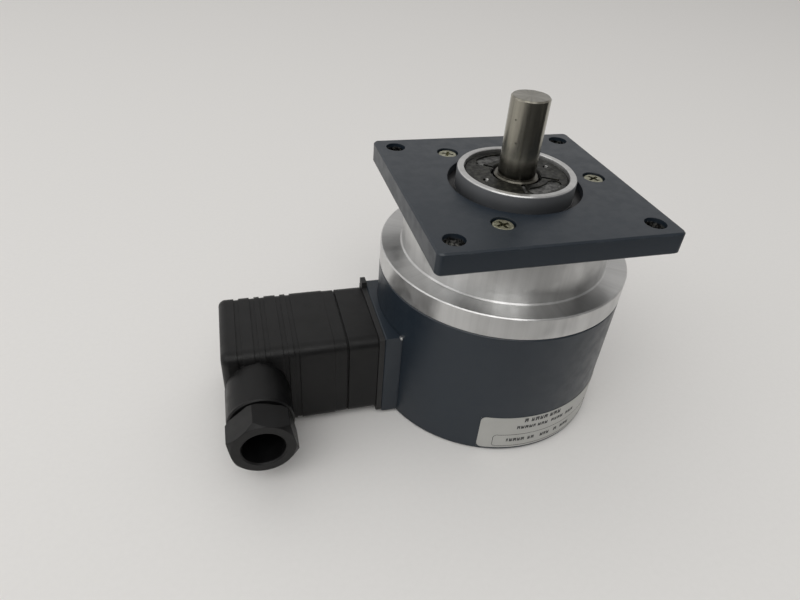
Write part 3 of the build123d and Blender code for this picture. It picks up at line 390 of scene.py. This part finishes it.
def rubber():
    m = Recipe("black_rubber", (0.020, 0.020, 0.021), 0.62)
    m.set("Base Color", m.mix(m.noise(4.0, 4), (0.008, 0.008, 0.0085), (0.022, 0.022, 0.022)))
    m.bump(m.noise(0.3, 3), 0.02)
    return m.done()


def label_film():
    m = Recipe("label_film", (0.45, 0.45, 0.43), 0.38, 0.25)
    m.set("Base Color", m.mix(m.noise(6.0, 4), (0.41, 0.41, 0.39), (0.50, 0.50, 0.48)))
    m.bump(m.noise(2.0, 2), 0.01)
    return m.done()


def circuit_board():
    m = Recipe("circuit_board", (0.02, 0.14, 0.06), 0.3)
    tracks = m.step(m.cells(2.2, feature="DISTANCE_TO_EDGE"), 0.02, 0.05)
    m.set("Base Color", m.mix(tracks, (0.06, 0.26, 0.10), (0.012, 0.10, 0.045)))
    m.bump(tracks, 0.03)
    return m.done()


def disc_glass():
    """Glass with chrome graduations round the rim."""
    m = Recipe("disc_glass", (0.85, 0.92, 0.92), 0.05)
    x, y, _ = m.parts()
    turn = m.math("ARCTAN2", y, x)
    ticks = m.math("SINE", m.math("MULTIPLY", turn, DISC_LINES))
    track = m.between(m.radius(), TRACK_IN, TRACK_OUT, 0.1)
    chrome = m.math("MULTIPLY", m.step(ticks, -0.1, 0.1), track)
    m.set("Base Color", m.mix(chrome, (0.85, 0.92, 0.92), (0.25, 0.25, 0.25)))
    m.set("Roughness", m.step(m.noise(4.0), 0.3, 0.7, 0.03, 0.08))
    m.set("Transmission Weight", 0.7)
    return m.done()


def gloss_plastic(name, colour, light):
    m = Recipe(name, colour, 0.25)
    m.set("Base Color", m.mix(m.noise(2.0, 3), colour, light))
    m.set("Roughness", m.step(m.noise(0.8, 2), 0.3, 0.7, 0.2, 0.34))
    m.bump(m.noise(0.5, 2), 0.006)
    return m.done()


def lock_ring_finish():
    """Blackened steel, oily, scraped where it is sunk, with painted glints beside its two pin holes.
    """
    m = Recipe("black_oxide", (0.020, 0.020, 0.021), 0.38, 0.4)
    m.set("Specular IOR Level", 0.22)
    _, _, z = m.parts()
    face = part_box("lock_ring")[1].z / MM
    sunk = m.step(z, face - POCKET_DEPTH - 0.03, face - POCKET_DEPTH + 0.05, 1.0, 0.0)
    worn = m.step(m.noise(1.3, 4), 0.42, 0.7)
    plain = m.mix(worn, (0.007, 0.007, 0.006), (0.038, 0.038, 0.030))
    scrapes = m.step(m.noise(1.1, 4), 0.35, 0.65)
    scraped = m.mix(scrapes, (0.05, 0.05, 0.05), (0.19, 0.19, 0.185))
    colour = m.mix(sunk, plain, scraped)
    # Painted glints: a bright spot beside each pin hole.
    for glint in PIN_GLINTS:
        rim = m.step(m.radius(glint), 0.25, 0.5, 1.0, 0.0)
        colour = m.mix(rim, colour, (0.75, 0.75, 0.73))
    m.set("Base Color", colour)
    m.set("Roughness", m.step(m.noise(0.8, 3), 0.3, 0.7, 0.28, 0.5))
    m.rounded_edges(0.15)
    m.bump(m.noise(0.25, 3), 0.012)
    return m.done()


# ---------------------------------------------------------------- stage and light
def soft_light(name, place, aim, size, power, colour):
    data = bpy.data.lights.new(name, "AREA")
    data.shape = "RECTANGLE"
    data.size, data.size_y = size
    data.energy = power
    data.color = colour
    light = bpy.data.objects.new(name, data)
    bpy.context.scene.collection.objects.link(light)
    light.location = place
    light.rotation_euler = (Vector(aim) - Vector(place)).to_track_quat("-Z", "Y").to_euler()


def make_stage():
    mesh = bpy.data.meshes.new("floor")
    shape = bmesh.new()
    bmesh.ops.create_grid(shape, x_segments=1, y_segments=1, size=FLOOR_HALF)
    shape.to_mesh(mesh)
    shape.free()
    floor = bpy.data.objects.new("floor", mesh)
    bpy.context.scene.collection.objects.link(floor)
    floor.location.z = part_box("housing_cup")[0].z - FLOOR_GAP
    material = Recipe("floor_paper", (0.80, 0.79, 0.775), 0.6)
    material.set("Specular IOR Level", 0.0)
    grain = material.noise(1.5, 3)
    material.set("Base Color", material.mix(grain, (0.79, 0.78, 0.765), (0.82, 0.81, 0.795)))
    mesh.materials.append(material.done())

    make_room()
    dark_cards()
    for light in LIGHTS:
        soft_light(*light)


def dark_cards():
    """The dim parts of the room, in front of the table and to its right, seen only in reflections."""
    shape = bmesh.new()
    for left, right, near, far in CARDS:
        corners = [(left, near), (right, near), (right, far), (left, far)]
        shape.faces.new([shape.verts.new((x, y, CARD_HEIGHT)) for x, y in corners])
    mesh = bpy.data.meshes.new("dark_cards")
    shape.to_mesh(mesh)
    shape.free()
    card = bpy.data.objects.new("dark_cards", mesh)
    bpy.context.scene.collection.objects.link(card)
    card.visible_camera = False
    card.visible_diffuse = False
    card.visible_transmission = False
    card.visible_shadow = False
    cloth = Recipe("dark_cloth", (0.02, 0.02, 0.02), 0.9)
    weave = cloth.noise(20.0, 3)
    cloth.set("Base Color", cloth.mix(weave, (0.03, 0.03, 0.03), (0.06, 0.06, 0.06)))
    mesh.materials.append(cloth.done())


def make_room():
    """Soft surroundings: bright above, pale low down behind the object, dim on the camera's side."""
    world = bpy.data.worlds.new("soft_room")
    bpy.context.scene.world = world
    world.use_nodes = True
    tree = world.node_tree
    split = tree.nodes.new("ShaderNodeSeparateXYZ")
    tree.links.new(tree.nodes.new("ShaderNodeTexCoord").outputs["Generated"], split.inputs[0])
    height = ramp(tree, split.outputs["Z"], 0.10, 0.70, 0.0, 0.36)
    depth = ramp(tree, split.outputs["Y"], -0.5, 0.5, 0.02, 0.20)
    side = ramp(tree, split.outputs["X"], -0.7, 0.5, 0.14, 0.0)
    low = ramp(tree, split.outputs["Z"], 0.30, 0.50, 2.0, 0.0)
    glow = combine(tree, "MULTIPLY", low, depth)
    total = combine(tree, "ADD", combine(tree, "ADD", height, depth), combine(tree, "ADD", side, glow))
    background = tree.nodes["Background"]
    background.inputs["Color"].default_value = (1.0, 0.985, 0.97, 1)
    tree.links.new(total, background.inputs["Strength"])


def combine(tree, operation, first, second):
    made = tree.nodes.new("ShaderNodeMath")
    made.operation = operation
    tree.links.new(first, made.inputs[0])
    tree.links.new(second, made.inputs[1])
    return made.outputs[0]


def ramp(tree, value, low, high, start, end):
    made = tree.nodes.new("ShaderNodeMapRange")
    made.interpolation_type = "SMOOTHSTEP"
    for name, number in zip(("From Min", "From Max", "To Min", "To Max"), (low, high, start, end)):
        made.inputs[name].default_value = number
    tree.links.new(value, made.inputs["Value"])
    return made.outputs["Result"]


# ---------------------------------------------------------------- print on the label
GLUE_THICK = 0.03
FILM_THICK = 0.12
PRINT_THICK = 0.015
LABEL_R = CUP_R + GLUE_THICK + FILM_THICK
PRINT_R = LABEL_R + PRINT_THICK
TILE_DEGREES = 1.5
# The nick in a mark: where it starts and ends along the mark, and its share of the mark's height.
NICK_START, NICK_END, NICK_TALL = 0.40, 0.70, 0.35
# Each row: middle height, tall, first angle, then its marks' widths in degrees (a minus is a gap).
BOLD_ROW = (12.1, 1.5, -92.0, (
    1.8, -1.6, 1.5, -0.5, 1.9, -0.5, 1.6, -0.5, 1.9, -1.4, 1.7, -0.5, 1.8, -0.5, 1.7))
SMALL_ROW = (9.4, 1.2, -95.0, (
    1.5, -0.4, 1.7, -0.4, 1.6, -0.4, 1.7, -0.4, 1.2, -1.2, 1.6, -0.4, 1.4, -0.4, 1.5,
    -2.2, 1.6, -0.4, 1.3, -0.4, 1.5, -0.4, 1.6, -2.0, 1.5, -0.4, 1.6, -0.4, 1.5))
BOX_ROW = (4.4, 1.3, -98.8, (
    0.8, -0.6, 1.5, -0.4, 1.6, -0.4, 1.5, -0.4, 1.6, -1.8, 1.3, -0.5, 1.5, -3.4,
    1.6, -0.4, 1.2, -0.4, 1.5, -3.0, 1.9, -2.5, 1.7, -0.4, 1.6, -0.4, 1.5))
FAR_ROW = (8.0, 2.4, -40.0, (4.0, -1.0, 3.0, -1.0, 4.5, -1.0, 3.0, -1.0, 4.0))
# The frame round the lowest row: first and last angle, low and high, corner and line.
BOX_OUTLINE = (-105.4, -46.0, 1.9, 6.6, 1.3, 0.16)
CORNER_TILES = 5


def patch(shape, first, last, low, high):
    """Thin curved tile on the label between two angles and two heights, closed on all sides."""
    steps = max(1, math.ceil((last - first) / TILE_DEGREES))
    rows = []
    for number in range(steps + 1):
        turn = math.radians(first + (last - first) * number / steps)
        corners = []
        for radius, z in ((LABEL_R, low), (PRINT_R, low), (PRINT_R, high), (LABEL_R, high)):
            place = Vector((radius * math.cos(turn), radius * math.sin(turn), z))
            corners.append(shape.verts.new(place * MM))
        rows.append(corners)
    for near, far in zip(rows, rows[1:]):
        for a in range(4):
            b = (a + 1) % 4
            shape.faces.new((near[a], near[b], far[b], far[a]))
    shape.faces.new(reversed(rows[0]))
    shape.faces.new(rows[-1])


def print_row(shape, row):
    """Row of blank marks in place of letters: each is a bar with a nick in its upper or lower side."""
    middle, tall, angle, widths = row
    for number, width in enumerate(widths):
        if width > 0:
            low, high = middle - tall / 2, middle + tall / 2
            nick = (angle + NICK_START * width, angle + NICK_END * width)
            patch(shape, angle, nick[0], low, high)
            patch(shape, nick[1], angle + width, low, high)
            if number % 4:
                patch(shape, *nick, low, high - NICK_TALL * tall)
            else:
                patch(shape, *nick, low + NICK_TALL * tall, high)
        angle += abs(width)


def print_outline(shape):
    """Thin rounded outline: two long sides, two short ones and four corners in short tiles."""
    first, last, low, high, corner, line = BOX_OUTLINE
    turn = math.degrees(corner / LABEL_R)
    thin = math.degrees(line / LABEL_R)
    reach = 1.3 * line
    patch(shape, first + turn, last - turn, low, low + line)
    patch(shape, first + turn, last - turn, high - line, high)
    patch(shape, first, first + thin, low + corner, high - corner)
    patch(shape, last - thin, last, low + corner, high - corner)
    for side, edge in ((1, first), (-1, last)):
        for up, level in ((1, low), (-1, high)):
            for number in range(CORNER_TILES):
                bend = math.pi / 2 * (number + 0.5) / CORNER_TILES
                along = edge + side * turn * (1 - math.cos(bend))
                z = level + up * corner * (1 - math.sin(bend))
                patch(shape, along - thin / 2, along + thin / 2, z - reach, z + reach)


def print_label():
    shape = bmesh.new()
    for row in (BOLD_ROW, SMALL_ROW, BOX_ROW, FAR_ROW):
        print_row(shape, row)
    print_outline(shape)
    mesh = bpy.data.meshes.new("label_print")
    shape.to_mesh(mesh)
    shape.free()
    marks = bpy.data.objects.new("label_print", mesh)
    bpy.context.scene.collection.objects.link(marks)
    ink = Recipe("label_ink", (0.03, 0.03, 0.03), 0.55)
    thin = ink.step(ink.noise(0.5, 3), 0.4, 0.7)
    ink.set("Base Color", ink.mix(thin, (0.022, 0.022, 0.022), (0.09, 0.09, 0.09)))
    mesh.materials.append(ink.done())
    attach(marks, "encoder_body")


make_camera()
make_stage()
print_label()

# A chip in the paint where the connector block's upper edge meets the housing.
block_low, block_high = (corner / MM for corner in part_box("connector_block"))
chip_x = -math.sqrt(CUP_R ** 2 - block_low.y ** 2)
chip = Vector((chip_x, block_low.y, block_high.z))
corner_holes = MOUNTS["corner_holes"]["dims"]
bare_holes = (corner_holes["spacing_x_mm"], corner_holes["hole_r_mm"], PLATE_HIGH - 0.9)

SPECIAL = {
    "connector_block": paint("connector_paint", bare_spot=chip),
    "adapter_plate": paint("plate_paint", bare_holes=bare_holes),
    "flange_body": flange_finish(),
}
FINISHES = {
    "housing_paint": paint(),
    "machined_aluminium": blotched_metal("machined_aluminium", ALUMINIUM, WORN_AND_STREAK_ALUMINIUM, *TURNED),
    "shaft_steel": shaft_finish(),
    "bearing_steel": blotched_metal("bearing_steel", (0.66,) * 3, (0.52,) * 3, 0.2, 0.1, 0.002, 0.5),
    "cage_steel": plated_metal("cage_steel", (0.42, 0.40, 0.35), (0.26, 0.25, 0.22), 0.38),
    "spring_steel": plated_metal("spring_steel", (0.20, 0.20, 0.21), (0.10, 0.10, 0.10), 0.35),
    "zinc_plate": plated_metal("zinc_plate", (0.46, 0.45, 0.35), (0.24, 0.24, 0.17), 0.34, 0.9),
    "black_oxide": lock_ring_finish(),
    "black_plastic": moulded_plastic("black_plastic", PLASTIC, [2.8 * c for c in PLASTIC], 0.42),
    "grey_plastic": moulded_plastic("grey_plastic", (0.13, 0.14, 0.145), (0.20, 0.20, 0.20), 0.5),
    "black_rubber": rubber(),
    "brass": plated_metal("brass", (0.72, 0.55, 0.26), (0.55, 0.40, 0.18), 0.3),
    "tinned_contact": plated_metal("tinned_contact", (0.72, 0.72, 0.71), (0.55, 0.55, 0.54), 0.28),
    "disc_glass": disc_glass(),
    "lens_plastic": gloss_plastic("lens_plastic", (0.10, 0.03, 0.11), (0.16, 0.06, 0.17)),
    "circuit_board": circuit_board(),
    "label_film": label_film(),
    "wire_insulation": gloss_plastic("wire_insulation", (0.42, 0.02, 0.015), (0.55, 0.05, 0.03)),
}

for part in frame["record"]["subparts"]:
    finish = SPECIAL.get(part["node"], FINISHES[part["material_slot"]])
    for place in NODES[part["node"]].material_slots:
        place.material = finish
